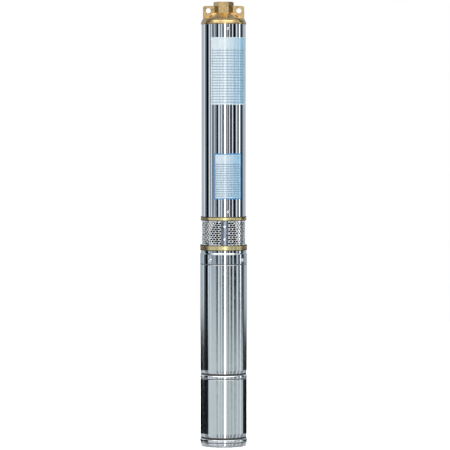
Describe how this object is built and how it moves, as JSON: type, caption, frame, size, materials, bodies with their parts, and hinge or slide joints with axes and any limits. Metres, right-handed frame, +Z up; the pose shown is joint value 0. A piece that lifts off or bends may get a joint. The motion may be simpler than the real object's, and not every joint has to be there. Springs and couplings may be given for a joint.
{
  "type": "submersible borehole pump",
  "caption": "Slim upright submersible borehole pump: brass head with hexagonal outlet and rope ears, polished pump tube, perforated intake, motor and capacitor section.",
  "frame": {"origin": "centre of the flat bottom face of the bottom cap, on the surface that the pump stands on", "axes": "+Z up along the shaft towards the outlet, -Y towards the viewer of the picture, +X to the viewer's right, through the rope ears"},
  "size_m": [0.103, 0.103, 0.972],
  "materials": {
    "tube_steel": "polished",
    "casing_steel": "satin",
    "strainer_steel": "bright",
    "cast_brass": "cast and turned",
    "screw_steel": "bright",
    "shaft_steel": "ground",
    "lamination": "stacked",
    "copper": "enamelled wire",
    "aluminium": "cast",
    "bearing_steel": "ground",
    "seal_carbon": "lapped",
    "seal_ceramic": "lapped",
    "rubber": "moulded",
    "stage_plastic": "moulded",
    "valve_plastic": "moulded",
    "capacitor_can": "smooth"
  },
  "bodies": {
    "pump": {"bottom_cap": "casing_steel", "capacitor_shell": "tube_steel", "capacitor": "capacitor_can", "lower_bearing_housing": "casing_steel", "diaphragm": "rubber", "diaphragm_cover": "screw_steel", "motor_tube": "tube_steel", "stator_core": "lamination", "stator_windings": "copper", "thermal_protector": "capacitor_can", "motor_top_cover": "casing_steel", "cover_screws": "screw_steel", "cable_gland": "cast_brass", "bearing_outer_rings": "bearing_steel", "seal_seat": "seal_ceramic", "intake_bracket": "cast_brass", "motor_bolts": "screw_steel", "strainer": "strainer_steel", "strainer_screws": "screw_steel", "shaft_bushes": "rubber", "diffusers": "stage_plastic", "bearing_spider": "cast_brass", "valve_seat": "valve_plastic", "valve_cage": "valve_plastic", "pump_tube": "tube_steel", "tube_lock_screws": "screw_steel", "discharge_head": "cast_brass"},
    "rotor": {"motor_shaft": "shaft_steel", "rotor_core": "lamination", "rotor_end_rings": "aluminium", "bearing_inner_rings": "bearing_steel", "seal_head": "seal_carbon", "sand_slinger": "rubber", "shaft_coupling": "shaft_steel", "pump_shaft": "shaft_steel", "journal_sleeves": "bearing_steel", "impellers": "stage_plastic", "shaft_nut": "screw_steel"},
    "valve": {"valve_poppet": "valve_plastic"}
  },
  "joints": [
    {"name": "rotor_spin", "type": "hinge", "parent": "pump", "child": "rotor", "pos_m": [0, 0, 0], "axis": [0, 0, 1], "continuous": true},
    {"name": "valve_lift", "type": "slide", "parent": "pump", "child": "valve", "axis": [0, 0, 1], "range_m": [0, 0.01]}
  ]
}
